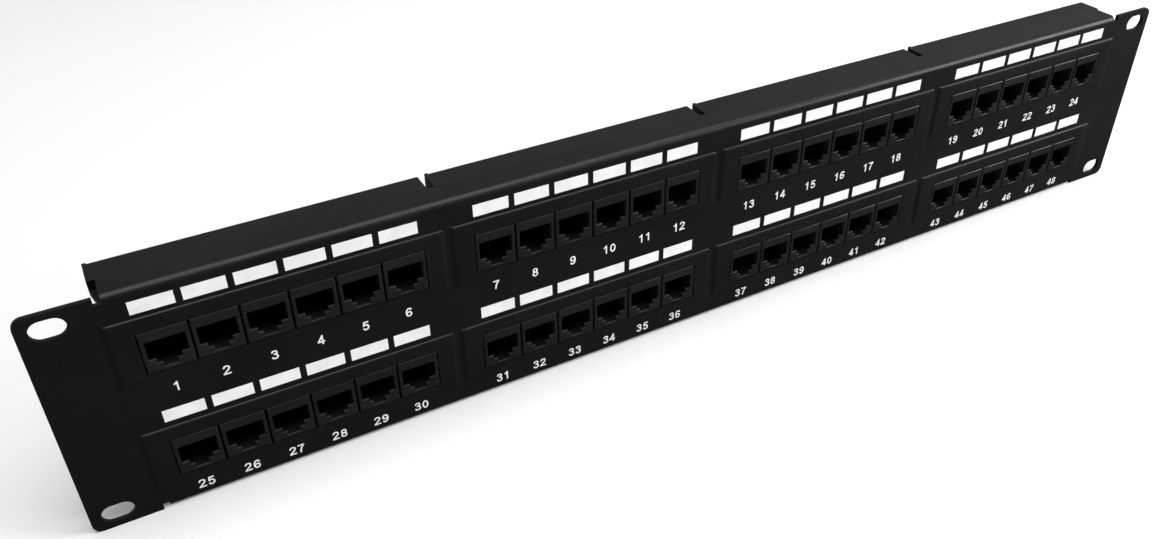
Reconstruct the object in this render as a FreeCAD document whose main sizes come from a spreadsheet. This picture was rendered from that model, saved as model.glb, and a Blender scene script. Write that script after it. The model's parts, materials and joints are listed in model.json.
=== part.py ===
import FreeCAD, Part
import math
import os
import Sketcher
from FreeCAD import Placement, Rotation, Vector

# A 19 inch, 2U patch panel with 48 sockets.  X runs across the panel, Y runs back into the rack
# and Z is up.  The origin is the middle of the four rack slots, on the rear face of the ears.

doc = FreeCAD.newDocument("patch_panel")

# ---------------------------------------------------------------- driving dimensions, mm
DIMENSIONS = [
    # steel front panel
    ("panel_width", 482.6),
    ("panel_height", 88.1),
    ("sheet_thickness", 1.5),
    ("flange_length", 434.0),
    ("flange_depth", 11.0),
    ("bend_radius", 2.4),
    ("ear_corner_radius", 3.5),
    ("relief_width", 2.3),
    ("relief_depth", 2.4),
    ("slot_spacing_x", 465.1),
    ("slot_spacing_z", 76.2),
    ("slot_length", 10.4),
    ("slot_width", 7.0),
    # embossed field round each group of six sockets
    ("group_pitch", 110.4),
    ("upper_row_z", 20.8),
    ("lower_row_z", -23.15),
    ("boss_length", 108.6),
    ("boss_height", 25.7),
    ("boss_rise", 0.7),
    ("boss_bevel", 2.0),
    ("window_length", 92.7),
    ("window_height", 15.9),
    # socket housing
    ("port_pitch", 15.45),
    ("jack_shift", 0.5),
    ("jack_drop", 0.5),
    ("jack_width", 14.8),
    ("jack_height", 15.4),
    ("jack_depth", 14.05),
    ("jack_proud", 0.05),
    ("jack_edge_round", 0.25),
    ("socket_depth", 12.5),
    ("socket_width", 12.2),
    ("socket_top", 4.0),
    ("socket_floor", -2.8),
    ("key_width", 7.6),
    ("key_floor", -4.6),
    ("latch_width", 4.5),
    ("latch_floor", -6.5),
    ("socket_edge_chamfer", 0.2),
    ("socket_lip", 1.8),
    ("peg_radius", 1.5),
    ("peg_spacing", 11.4),
    ("peg_length", 1.6),
    ("peg_z", -5.6),
    # spring contacts in each socket
    ("contact_pitch", 1.02),
    ("contact_radius", 0.2),
    ("contact_rear_z", 3.2),
    ("contact_fold_z", 3.6),
    ("contact_tip_z", 1.75),
    ("contact_fold_back", 3.2),
    ("contact_tip_back", 9.0),
    # circuit board
    ("board_length", 96.4),
    ("board_height", 34.0),
    ("board_thickness", 1.6),
    ("board_hole_clearance", 0.1),
    ("board_screw_x", 46.4),
    ("board_screw_z", 12.0),
    # punch-down block
    ("wire_pitch", 3.6),
    ("block_offset_z", 8.6),
    ("block_height", 10.4),
    ("block_base_depth", 6.5),
    ("tooth_depth", 10.0),
    ("tooth_tip", 1.4),
    ("tooth_width", 2.2),
    ("tooth_height", 9.2),
    ("block_end", 1.2),
    ("clip_slit", 0.7),
    ("clip_thickness", 0.5),
    ("clip_width", 2.9),
    ("clip_depth", 11.0),
    ("clip_fork_gap", 0.4),
    ("clip_fork_depth", 6.0),
    # plastic carrier behind each pair of groups
    ("carrier_width", 108.0),
    ("carrier_depth", 19.5),
    ("carrier_crown_z", 43.6),
    ("carrier_crown_start", 9.8),
    ("carrier_rail_z", 38.1),
    ("carrier_tuck_z", 42.3),
    ("carrier_tuck_start", 1.2),
    ("carrier_shell_z", 41.4),
    ("carrier_shell_start", 0.2),
    ("carrier_shell_half", 51.8),
    ("carrier_wall", 1.6),
    ("carrier_cavity_z", 40.3),
    ("carrier_rib", 2.0),
    ("carrier_rib_z", -1.2),
    ("carrier_stub_width", 1.3),
    ("carrier_stub_height", 0.45),
    ("block_window_gap", 0.3),
    ("pillar_radius", 1.7),
    ("pillar_bore", 0.8),
    # studs, nuts, screws and labels
    ("stud_radius", 1.5),
    ("stud_length", 22.0),
    ("stud_x", 40.0),
    ("stud_boss_radius", 3.2),
    ("stud_clearance", 0.2),
    ("nut_flats", 5.5),
    ("nut_thickness", 2.4),
    ("screw_head_radius", 1.8),
    ("screw_head_height", 1.3),
    ("screw_shank_gap", 0.1),
    ("screw_length", 5.0),
    ("screw_recess_width", 0.6),
    ("screw_recess_depth", 0.7),
    ("wiring_label_length", 84.0),
    ("wiring_label_height", 5.0),
    ("wiring_label_thickness", 0.15),
    # how far a joined solid runs into its neighbour, and a cutting one past the face it cuts
    ("overlap", 0.5),
    ("overshoot", 1.0),
]

CARRIERS = 4
PORTS_PER_GROUP = 6
CONTACTS_PER_PORT = 8
WIRES_PER_BLOCK = 24
ROWS = ("upper_row_z", "lower_row_z")
SIDES = (-1, 1)
TOUCH = 0.01

sheet = doc.addObject("Spreadsheet::Sheet", "Sheet")
for number, (alias, value) in enumerate(DIMENSIONS, start=1):
    sheet.set("A%d" % number, alias)
    sheet.set("B%d" % number, str(value))
    sheet.setAlias("B%d" % number, alias)
doc.recompute()


def size(expression):
    """The value in mm of an expression in the sheet's aliases."""
    return float(sheet.evalExpression(expression))


def on_sheet(expression):
    """Put the sheet's name in front of every alias in an expression, but not of a function."""
    words = []
    word = ""
    for character in expression + " ":
        if character.isalnum() or character == "_":
            word += character
            continue
        if word and word[0].isalpha() and character != "(":
            word = "Sheet." + word
        words.append(word + character)
        word = ""
    return "".join(words).strip()


# ---------------------------------------------------------------- sketch and feature helpers
def origin_plane(body, role):
    """One of the body's own origin planes."""
    return [feature for feature in body.Origin.OriginFeatures if feature.Role == role][0]


def new_sketch(body, name, role, offset="0"):
    """A sketch on an origin plane of the body, moved along the plane's normal by offset."""
    sketch = body.newObject("Sketcher::SketchObject", name)
    sketch.AttachmentSupport = [(origin_plane(body, role), "")]
    sketch.MapMode = "FlatFace"
    sketch.setExpression("AttachmentOffset.Base.z", on_sheet(offset))
    return sketch


def place_point(sketch, edge, end, across, up):
    """Hold a point of the sketch at two distances from the sketch's origin."""
    for kind, expression in (("DistanceX", across), ("DistanceY", up)):
        index = sketch.addConstraint(Sketcher.Constraint(kind, -1, 1, edge, end, size(expression)))
        sketch.setExpression("Constraints[%d]" % index, on_sheet(expression))


def add_polygon(sketch, corners):
    """A closed outline with each corner held by two expressions."""
    points = [Vector(size(across), size(up), 0) for across, up in corners]
    first = len(sketch.Geometry)
    for start, stop in zip(points, points[1:] + points[:1]):
        sketch.addGeometry(Part.LineSegment(start, stop), False)
    for index in range(len(corners)):
        following = (index + 1) % len(corners)
        joint = Sketcher.Constraint("Coincident", first + index, 2, first + following, 1)
        sketch.addConstraint(joint)
    for index, (across, up) in enumerate(corners):
        place_point(sketch, first + index, 1, across, up)


def add_rectangle(sketch, left, bottom, right, top):
    add_polygon(sketch, [(left, bottom), (right, bottom), (right, top), (left, top)])


def add_circle(sketch, across, up, radius):
    centre = Vector(size(across), size(up), 0)
    edge = sketch.addGeometry(Part.Circle(centre, Vector(0, 0, 1), size(radius)), False)
    place_point(sketch, edge, 3, across, up)
    index = sketch.addConstraint(Sketcher.Constraint("Radius", edge, size(radius)))
    sketch.setExpression("Constraints[%d]" % index, on_sheet(radius))


def add_slot(sketch, across, up, length, width):
    """A horizontal slot with round ends."""
    radius = size(width) / 2
    reach = (size(length) - size(width)) / 2
    middle = Vector(size(across), size(up), 0)
    left = middle - Vector(reach, 0, 0)
    right = middle + Vector(reach, 0, 0)
    rise = Vector(0, radius, 0)
    axis = Vector(0, 0, 1)
    left_arc = Part.ArcOfCircle(Part.Circle(left, axis, radius), math.pi / 2, 3 * math.pi / 2)
    right_arc = Part.ArcOfCircle(Part.Circle(right, axis, radius), -math.pi / 2, math.pi / 2)
    arcs = [sketch.addGeometry(arc, False) for arc in (left_arc, right_arc)]
    top = sketch.addGeometry(Part.LineSegment(left + rise, right + rise), False)
    bottom = sketch.addGeometry(Part.LineSegment(left - rise, right - rise), False)
    sketch.addConstraint(Sketcher.Constraint("Tangent", arcs[0], 1, top, 1))
    sketch.addConstraint(Sketcher.Constraint("Tangent", arcs[0], 2, bottom, 1))
    sketch.addConstraint(Sketcher.Constraint("Tangent", arcs[1], 2, top, 2))
    sketch.addConstraint(Sketcher.Constraint("Tangent", arcs[1], 1, bottom, 2))
    reach_text = "(%s - %s) / 2" % (length, width)
    place_point(sketch, arcs[0], 3, "%s - %s" % (across, reach_text), up)
    index = sketch.addConstraint(Sketcher.Constraint("DistanceX", arcs[0], 3, arcs[1], 3, 2 * reach))
    sketch.setExpression("Constraints[%d]" % index, on_sheet("%s - %s" % (length, width)))
    index = sketch.addConstraint(Sketcher.Constraint("Radius", arcs[0], radius))
    sketch.setExpression("Constraints[%d]" % index, on_sheet("%s / 2" % width))


def add_feature(body, kind, sketch, length, reverse=False, both_sides=False):
    """A Pad or Pocket of the sketch, checked to have changed the volume."""
    before = body.Shape.Volume if body.Tip else 0.0
    feature = body.newObject("PartDesign::" + kind, sketch.Name + "_" + kind.lower())
    feature.Profile = sketch
    feature.Reversed = reverse
    feature.Midplane = both_sides
    feature.setExpression("Length", on_sheet(length))
    doc.recompute()
    change = body.Shape.Volume - before
    assert change * (1 if kind == "Pad" else -1) > 0, feature.Name + " changes nothing"
    return feature


def edge_names(shape, wanted):
    """Names of the edges that the test accepts."""
    return ["Edge%d" % (i + 1) for i, edge in enumerate(shape.Edges) if wanted(edge)]


def dress_up(body, kind, name, wanted, size_property, expression):
    """A Fillet or Chamfer on the edges of the body's last feature that the test accepts."""
    base = body.Tip
    feature = body.newObject("PartDesign::" + kind, name)
    feature.Base = (base, edge_names(base.Shape, wanted))
    feature.setExpression(size_property, on_sheet(expression))
    doc.recompute()
    return feature


def box(name, left, front, bottom, right, back, top):
    """A Part::Box between two corners, each side an expression."""
    solid = doc.addObject("Part::Box", name)
    solid.setExpression("Length", on_sheet("%s - (%s)" % (right, left)))
    solid.setExpression("Width", on_sheet("%s - (%s)" % (back, front)))
    solid.setExpression("Height", on_sheet("%s - (%s)" % (top, bottom)))
    solid.setExpression("Placement.Base.x", on_sheet(left))
    solid.setExpression("Placement.Base.y", on_sheet(front))
    solid.setExpression("Placement.Base.z", on_sheet(bottom))
    return solid


def rod(name, radius, across, front, up, length):
    """A Part::Cylinder whose axis runs back along +Y from its front end."""
    solid = doc.addObject("Part::Cylinder", name)
    solid.Placement = Placement(Vector(0, 0, 0), Rotation(Vector(1, 0, 0), -90))
    solid.setExpression("Radius", on_sheet(radius))
    solid.setExpression("Height", on_sheet(length))
    solid.setExpression("Placement.Base.x", on_sheet(across))
    solid.setExpression("Placement.Base.y", on_sheet(front))
    solid.setExpression("Placement.Base.z", on_sheet(up))
    return solid


def fuse(name, solids):
    joined = doc.addObject("Part::MultiFuse", name)
    joined.Shapes = solids
    return joined


def cut(name, base, tool):
    result = doc.addObject("Part::Cut", name)
    result.Base = base
    result.Tool = tool
    return result


def copies(label, master, offsets):
    """One node that holds a copy of the master solid at each offset."""
    shape = Part.makeCompound([master.Shape.translated(offset) for offset in offsets])
    node = doc.addObject("Part::Feature", label)
    node.Label = label
    node.Shape = shape
    node.Placement = Placement()
    return node


# ---------------------------------------------------------------- places that repeat
def group_centres():
    """Name, X and Z of each group of six sockets, in the order of the port numbers."""
    centres = []
    for row, row_alias in enumerate(ROWS):
        for column in range(CARRIERS):
            first = (row * CARRIERS + column) * PORTS_PER_GROUP + 1
            name = "%02d_%02d" % (first, first + PORTS_PER_GROUP - 1)
            x = size("group_pitch") * (column - (CARRIERS - 1) / 2)
            centres.append((name, x, size(row_alias)))
    return centres


def port_steps():
    """X of each socket of a group, from the group's centre."""
    half = (PORTS_PER_GROUP - 1) / 2
    return [size("port_pitch") * (port - half) + size("jack_shift")
            for port in range(PORTS_PER_GROUP)]


# ---------------------------------------------------------------- steel front panel
def front_panel():
    """A bent steel channel with ears, rack slots and eight embossed fields with windows."""
    body = doc.addObject("PartDesign::Body", "front_panel")
    body.Label = "front_panel"

    channel = new_sketch(body, "channel_section", "YZ_Plane")
    front = "-sheet_thickness"
    lip = "flange_depth - sheet_thickness"
    top = "panel_height / 2"
    inside = "panel_height / 2 - sheet_thickness"
    add_polygon(channel, [(front, "-" + top), (lip, "-" + top), (lip, "-(" + inside + ")"),
                          ("0", "-(" + inside + ")"), ("0", inside), (lip, inside),
                          (lip, top), (front, top)])
    add_feature(body, "Pad", channel, "flange_length", both_sides=True)

    half_height = size("panel_height") / 2
    thickness = size("sheet_thickness")

    def at_corner(edge, y, z):
        centre = edge.BoundBox.Center
        along_x = edge.BoundBox.XLength > size("flange_length") / 2
        return along_x and abs(centre.y - y) < TOUCH and abs(abs(centre.z) - z) < TOUCH

    dress_up(body, "Fillet", "outer_bend", lambda e: at_corner(e, -thickness, half_height),
             "Radius", "bend_radius")
    dress_up(body, "Fillet", "inner_bend", lambda e: at_corner(e, 0, half_height - thickness),
             "Radius", "bend_radius - sheet_thickness")

    ears = new_sketch(body, "ear_outline", "XZ_Plane")
    root = "flange_length / 2 - overlap"
    relief = "flange_length / 2 + relief_width"
    shoulder = "panel_height / 2 - relief_depth"
    end = "panel_width / 2"
    for sign in ("", "-"):
        add_polygon(ears, [(sign + "(" + x + ")", z) for x, z in (
            (root, "-(" + shoulder + ")"), (relief, "-(" + shoulder + ")"), (relief, "-" + top),
            (end, "-" + top), (end, top), (relief, top), (relief, shoulder), (root, shoulder))])
    add_feature(body, "Pad", ears, "sheet_thickness")

    def at_ear_corner(edge):
        centre = edge.BoundBox.Center
        at_end = abs(abs(centre.x) - size("panel_width") / 2) < TOUCH
        through = edge.BoundBox.YLength > thickness / 2
        return at_end and through and abs(abs(centre.z) - half_height) < TOUCH

    dress_up(body, "Fillet", "ear_corners", at_ear_corner, "Radius", "ear_corner_radius")

    fields = new_sketch(body, "embossed_fields", "XZ_Plane", "sheet_thickness")
    hollows = new_sketch(body, "embossed_hollows", "XZ_Plane")
    windows = new_sketch(body, "socket_windows", "XZ_Plane")
    for row in ROWS:
        for column in range(CARRIERS):
            centre = "group_pitch * %.1f" % (column - (CARRIERS - 1) / 2)
            left = centre + " - boss_length / 2"
            right = centre + " + boss_length / 2"
            for sketch in (fields, hollows):
                add_rectangle(sketch, left, row + " - boss_height / 2",
                              right, row + " + boss_height / 2")
            window_x = centre + " + jack_shift"
            window_z = row + " - jack_drop"
            add_rectangle(windows, window_x + " - window_length / 2",
                          window_z + " - window_height / 2",
                          window_x + " + window_length / 2", window_z + " + window_height / 2")
    taper = "-atan(boss_bevel / boss_rise)"
    raised = add_feature(body, "Pad", fields, "boss_rise")
    raised.setExpression("TaperAngle", on_sheet(taper))
    sunk = add_feature(body, "Pocket", hollows, "boss_rise", reverse=True)
    sunk.setExpression("TaperAngle", on_sheet(taper))
    reach = "sheet_thickness + boss_rise"
    add_feature(body, "Pocket", windows, reach, reverse=True)

    slots = new_sketch(body, "rack_slots", "XZ_Plane")
    for across in SIDES:
        for up in SIDES:
            add_slot(slots, "%d * slot_spacing_x / 2" % across, "%d * slot_spacing_z / 2" % up,
                     "slot_length", "slot_width")
    add_feature(body, "Pocket", slots, "sheet_thickness", reverse=True)
    return body


# ---------------------------------------------------------------- sockets
def jack_master():
    """One socket housing, centred on X = 0 and Z = 0, with its face at the front."""
    body = doc.addObject("PartDesign::Body", "jack_master")
    face = "sheet_thickness + boss_rise + jack_proud"

    outside = new_sketch(body, "jack_outline", "XZ_Plane", face)
    add_rectangle(outside, "-jack_width / 2", "-jack_height / 2", "jack_width / 2", "jack_height / 2")
    add_feature(body, "Pad", outside, "jack_depth", reverse=True)
    corner_x = size("jack_width") / 2
    corner_z = size("jack_height") / 2

    def long_edge(edge):
        centre = edge.BoundBox.Center
        return abs(abs(centre.x) - corner_x) < TOUCH and abs(abs(centre.z) - corner_z) < TOUCH

    dress_up(body, "Fillet", "jack_edges", long_edge, "Radius", "jack_edge_round")

    opening = new_sketch(body, "socket_opening", "XZ_Plane", face)
    steps = [("socket_width / 2", "socket_top"), ("socket_width / 2", "socket_floor"),
             ("key_width / 2", "socket_floor"), ("key_width / 2", "key_floor"),
             ("latch_width / 2", "key_floor"), ("latch_width / 2", "latch_floor")]
    mirrored = [("-" + across, up) for across, up in reversed(steps)]
    add_polygon(opening, steps + mirrored)
    add_feature(body, "Pocket", opening, "socket_depth")
    face_y = -size(face)
    half_opening = size("socket_width") / 2

    def mouth_edge(edge):
        bounds = edge.BoundBox
        on_face = abs(bounds.YMin - face_y) < TOUCH and abs(bounds.YMax - face_y) < TOUCH
        inside = max(abs(bounds.XMin), abs(bounds.XMax)) < half_opening + TOUCH
        return on_face and inside

    dress_up(body, "Chamfer", "socket_mouth", mouth_edge, "Size", "socket_edge_chamfer")

    cavity = new_sketch(body, "socket_cavity", "XZ_Plane", face + " - socket_lip")
    add_rectangle(cavity, "-socket_width / 2", "latch_floor", "socket_width / 2", "socket_top")
    add_feature(body, "Pocket", cavity, "socket_depth - socket_lip")

    pegs = new_sketch(body, "jack_pegs", "XZ_Plane", face + " - jack_depth")
    for side in SIDES:
        add_circle(pegs, "%d * peg_spacing / 2" % side, "peg_z", "peg_radius")
    add_feature(body, "Pad", pegs, "peg_length", reverse=True)
    return body


def contact_master():
    """One round spring wire, folded back on itself under the roof of the socket."""
    face_y = -size("sheet_thickness + boss_rise + jack_proud")
    rear = Vector(0, face_y + size("socket_depth"), size("contact_rear_z"))
    fold = Vector(0, face_y + size("contact_fold_back"), size("contact_fold_z"))
    tip = Vector(0, face_y + size("contact_tip_back"), size("contact_tip_z"))
    path = Part.makePolygon([rear, fold, tip])
    ring = Part.Wire(Part.makeCircle(size("contact_radius"), rear, fold - rear))
    wire = doc.addObject("Part::Feature", "contact_master")
    wire.Shape = path.makePipeShell([ring], True, False, 2)
    return wire


# ---------------------------------------------------------------- circuit board
def board_master():
    """One circuit board for six sockets, with holes for the pegs and the four screws."""
    body = doc.addObject("PartDesign::Body", "board_master")
    front = "jack_depth - sheet_thickness - boss_rise - jack_proud"
    outline = new_sketch(body, "board_outline", "XZ_Plane", "-(" + front + ")")
    add_rectangle(outline, "-board_length / 2", "-board_height / 2",
                  "board_length / 2", "board_height / 2")
    add_feature(body, "Pad", outline, "board_thickness", reverse=True)
    holes = new_sketch(body, "board_holes", "XZ_Plane", "-(" + front + ")")
    half = (PORTS_PER_GROUP - 1) / 2
    for port in range(PORTS_PER_GROUP):
        for side in SIDES:
            across = "%.1f * port_pitch + jack_shift" % (port - half)
            across += " + %d * peg_spacing / 2" % side
            add_circle(holes, across, "peg_z - jack_drop", "peg_radius + board_hole_clearance")
    for across in SIDES:
        for up in SIDES:
            add_circle(holes, "%d * board_screw_x" % across, "%d * board_screw_z" % up,
                       "pillar_bore + board_hole_clearance")
    add_feature(body, "Pocket", holes, "board_thickness")
    return body


# ---------------------------------------------------------------- punch-down blocks
BOARD_REAR = "jack_depth - sheet_thickness - boss_rise - jack_proud + board_thickness"
HALF_WIRES = "wire_pitch * %d" % (WIRES_PER_BLOCK // 2)


def block_master():
    """A comb of pointed teeth on a base, split lengthwise by the slit that holds the clips."""
    body = doc.addObject("PartDesign::Body", "block_master")
    half_length = "(" + HALF_WIRES + " + tooth_width / 2)"
    base = new_sketch(body, "block_base", "XZ_Plane", "-(" + BOARD_REAR + ")")
    add_rectangle(base, "-" + half_length, "-block_height / 2", half_length, "block_height / 2")
    add_feature(body, "Pad", base, "block_base_depth", reverse=True)

    teeth = new_sketch(body, "block_teeth", "XY_Plane")
    root = BOARD_REAR + " + block_base_depth"
    shoulder = root + " + tooth_depth - tooth_tip"
    peak = root + " + tooth_depth"
    for tooth in range(WIRES_PER_BLOCK + 1):
        middle = "wire_pitch * %d" % (tooth - WIRES_PER_BLOCK // 2)
        left = middle + " - tooth_width / 2"
        right = middle + " + tooth_width / 2"
        add_polygon(teeth, [(left, root), (right, root), (right, shoulder), (middle, peak),
                            (left, shoulder)])
    add_feature(body, "Pad", teeth, "tooth_height", both_sides=True)

    slit = new_sketch(body, "clip_slit", "XZ_Plane", "-(" + peak + ")")
    add_rectangle(slit, "-(" + HALF_WIRES + ")", "-clip_slit / 2", HALF_WIRES, "clip_slit / 2")
    add_feature(body, "Pocket", slit, "tooth_depth + block_base_depth - block_end", reverse=True)
    return body


def clip_master():
    """One flat forked clip that cuts through the insulation of a wire."""
    start = BOARD_REAR + " + block_end"
    end = start + " + clip_depth"
    plate = box("clip_plate", "-clip_width / 2", start, "-clip_thickness / 2",
                "clip_width / 2", end, "clip_thickness / 2")
    fork = box("clip_fork", "-clip_fork_gap / 2", end + " - clip_fork_depth", "-clip_thickness",
               "clip_fork_gap / 2", end + " + overshoot", "clip_thickness")
    return cut("clip_master", plate, fork)


# ---------------------------------------------------------------- plastic carriers
def carrier(number):
    """A carrier that holds the boards of two groups, with four windows in its rear plate."""
    name = "module_carrier_%d" % (number + 1)
    step = "%.1f" % (number - (CARRIERS - 1) / 2)
    half = "carrier_width / 2"
    back = "carrier_depth"
    parts = [box(name + "_shell", "-carrier_shell_half", "carrier_shell_start", "-carrier_shell_z",
                 "carrier_shell_half", back, "carrier_shell_z")]
    for side in SIDES:
        heights = ["%d * carrier_rail_z" % side, "%d * carrier_tuck_z" % side]
        crown = ["%d * carrier_tuck_z" % side, "%d * carrier_crown_z" % side]
        if side < 0:
            heights.reverse()
            crown.reverse()
        tag = "top" if side > 0 else "bottom"
        parts.append(box(name + "_rail_" + tag, "-" + half, "carrier_tuck_start", heights[0],
                         half, back, heights[1]))
        parts.append(box(name + "_crown_" + tag, "-" + half, "carrier_crown_start", crown[0],
                         half, back, crown[1]))
    parts.append(box(name + "_stub", "-" + half, back + " - carrier_stub_width", "carrier_crown_z",
                     "-" + half + " + carrier_stub_width", back,
                     "carrier_crown_z + carrier_stub_height"))
    shell = fuse(name + "_solid", parts)

    inner = "carrier_shell_half - carrier_wall"
    plate = "carrier_depth - carrier_wall"
    rib_top = "carrier_rib_z + carrier_rib / 2"
    rib_bottom = "carrier_rib_z - carrier_rib / 2"
    hollows = [box(name + "_hollow_upper", "-(" + inner + ")", "-overshoot", rib_top,
                   inner, plate, "carrier_cavity_z"),
               box(name + "_hollow_lower", "-(" + inner + ")", "-overshoot", "-carrier_cavity_z",
                   inner, plate, rib_bottom)]
    block_half = HALF_WIRES + " + tooth_width / 2 + block_window_gap"
    for row in ROWS:
        for side in SIDES:
            middle = row + " + %d * block_offset_z" % side
            tag = "%s_%s" % (row.split("_")[0], "a" if side > 0 else "b")
            hollows.append(box(name + "_window_" + tag, "-(" + block_half + ")",
                               plate + " - overshoot",
                               middle + " - block_height / 2 - block_window_gap",
                               block_half, back + " + overshoot",
                               middle + " + block_height / 2 + block_window_gap"))
    open_shell = cut(name + "_open", shell, fuse(name + "_hollows", hollows))

    pillars = []
    bores = []
    for row in ROWS:
        for across in SIDES:
            for up in SIDES:
                place = ("%d * board_screw_x" % across, row + " + %d * board_screw_z" % up)
                tag = "%s_%d_%d" % (row.split("_")[0], across > 0, up > 0)
                pillars.append(rod(name + "_pillar_" + tag, "pillar_radius", place[0], BOARD_REAR,
                                   place[1], plate + " - (" + BOARD_REAR + ") + overlap"))
                bores.append(rod(name + "_bore_" + tag, "pillar_bore", place[0],
                                 BOARD_REAR + " - overshoot", place[1], "screw_length"))
    for across in SIDES:
        tag = "%d" % (across > 0)
        pillars.append(rod(name + "_stud_boss_" + tag, "stud_boss_radius", "%d * stud_x" % across,
                           "0", "carrier_rib_z", "carrier_depth"))
        bores.append(rod(name + "_stud_bore_" + tag, "stud_radius + stud_clearance",
                         "%d * stud_x" % across, "-overshoot", "carrier_rib_z",
                         "carrier_depth + 2 * overshoot"))
    solid = fuse(name + "_ribbed", [open_shell] + pillars)
    node = cut(name, solid, fuse(name + "_bores", bores))
    node.Label = name
    node.setExpression("Placement.Base.x", on_sheet("group_pitch * " + step))
    return node


# ---------------------------------------------------------------- fasteners and labels
def stud_places():
    """X of each stud, two for each carrier."""
    middle = (CARRIERS - 1) / 2
    return [size("group_pitch") * (number - middle) + side * size("stud_x")
            for number in range(CARRIERS) for side in SIDES]


def stud_master():
    """A plain stud welded to the rear face of the panel."""
    return rod("stud_master", "stud_radius", "0", "0", "carrier_rib_z", "stud_length")


def nut_master():
    """A hexagon nut that holds a carrier on its stud."""
    hexagon = doc.addObject("Part::Prism", "nut_hexagon")
    hexagon.Polygon = 6
    hexagon.Placement = Placement(Vector(0, 0, 0), Rotation(Vector(1, 0, 0), -90))
    hexagon.setExpression("Circumradius", on_sheet("nut_flats / 2") + " / cos(30 deg)")
    hexagon.setExpression("Height", on_sheet("nut_thickness"))
    hexagon.setExpression("Placement.Base.y", on_sheet("carrier_depth"))
    hexagon.setExpression("Placement.Base.z", on_sheet("carrier_rib_z"))
    bore = rod("nut_bore", "stud_radius", "0", "carrier_depth - overshoot", "carrier_rib_z",
               "nut_thickness + 2 * overshoot")
    return cut("nut_master", hexagon, bore)


def screw_master():
    """A round-headed screw that holds a board on a pillar, with a cross recess."""
    board_front = "jack_depth - sheet_thickness - boss_rise - jack_proud"
    shank = rod("screw_shank", "pillar_bore", "0", board_front, "0",
                "screw_length - screw_shank_gap")
    head = rod("screw_head", "screw_head_radius", "0", board_front + " - screw_head_height", "0",
               "screw_head_height")
    arms = []
    for index, (wide, tall) in enumerate((("screw_head_radius", "screw_recess_width"),
                                          ("screw_recess_width", "screw_head_radius"))):
        face = board_front + " - screw_head_height"
        arms.append(box("screw_arm_%d" % index, "-%s / 2" % wide, face + " - overshoot",
                        "-%s / 2" % tall, "%s / 2" % wide, face + " + screw_recess_depth",
                        "%s / 2" % tall))
    return cut("screw_master", fuse("screw_solid", [shank, head]), fuse("screw_recess", arms))


def label_master():
    """A thin wiring label stuck between the two windows of a board."""
    return box("label_master", "-wiring_label_length / 2", "carrier_depth",
               "-wiring_label_height / 2", "wiring_label_length / 2",
               "carrier_depth + wiring_label_thickness", "wiring_label_height / 2")


# ---------------------------------------------------------------- the assembly
nodes = [front_panel()]
nodes += [carrier(number) for number in range(CARRIERS)]

jack = jack_master()
contact = contact_master()
board = board_master()
block = block_master()
clip = clip_master()
screw = screw_master()
label = label_master()
stud = stud_master()
nut = nut_master()
doc.recompute()

contact_steps = [size("contact_pitch") * (index - (CONTACTS_PER_PORT - 1) / 2)
                 for index in range(CONTACTS_PER_PORT)]
clip_steps = [size("wire_pitch") * (index - (WIRES_PER_BLOCK - 1) / 2)
              for index in range(WIRES_PER_BLOCK)]
block_rise = size("block_offset_z")
groups = group_centres()

for name, x, z in groups:
    ports = [Vector(x + step, 0, z - size("jack_drop")) for step in port_steps()]
    nodes.append(copies("jack_housings_" + name, jack, ports))
    wires = [port + Vector(step, 0, 0) for port in ports for step in contact_steps]
    nodes.append(copies("jack_contacts_" + name, contact, wires))
    nodes.append(copies("circuit_board_" + name, board, [Vector(x, 0, z)]))
    nodes.append(copies("punch_block_upper_" + name, block, [Vector(x, 0, z + block_rise)]))
    nodes.append(copies("punch_block_lower_" + name, block, [Vector(x, 0, z - block_rise)]))
    clips = [Vector(x + step, 0, z + side * block_rise) for side in SIDES for step in clip_steps]
    nodes.append(copies("wire_clips_" + name, clip, clips))

screw_places = [Vector(x + across * size("board_screw_x"), 0, z + up * size("board_screw_z"))
                for name, x, z in groups for across in SIDES for up in SIDES]
nodes.append(copies("board_screws", screw, screw_places))
nodes.append(copies("wiring_labels", label, [Vector(x, 0, z) for name, x, z in groups]))
nodes.append(copies("panel_studs", stud, [Vector(x, 0, 0) for x in stud_places()]))
nodes.append(copies("stud_nuts", nut, [Vector(x, 0, 0) for x in stud_places()]))
doc.recompute()

# ---------------------------------------------------------------- checks, then one file per node
for item in doc.Objects:
    assert "Invalid" not in item.State and "Error" not in item.State, item.Name
for node in nodes:
    assert not node.Shape.isNull() and node.Shape.isValid(), node.Label

os.makedirs("parts", exist_ok=True)
for node in nodes:
    node.Shape.exportStep("parts/" + node.Label + ".step")
    bounds = node.Shape.BoundBox
    print("%-28s solids %3d  volume %9.1f  X %7.2f %7.2f  Y %6.2f %6.2f  Z %6.2f %6.2f" % (
        node.Label, len(node.Shape.Solids), node.Shape.Volume, bounds.XMin, bounds.XMax,
        bounds.YMin, bounds.YMax, bounds.ZMin, bounds.ZMax))
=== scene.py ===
import json
import math

import bmesh
import bpy
from mathutils import Matrix, Vector
from mathutils.geometry import delaunay_2d_cdt


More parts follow.
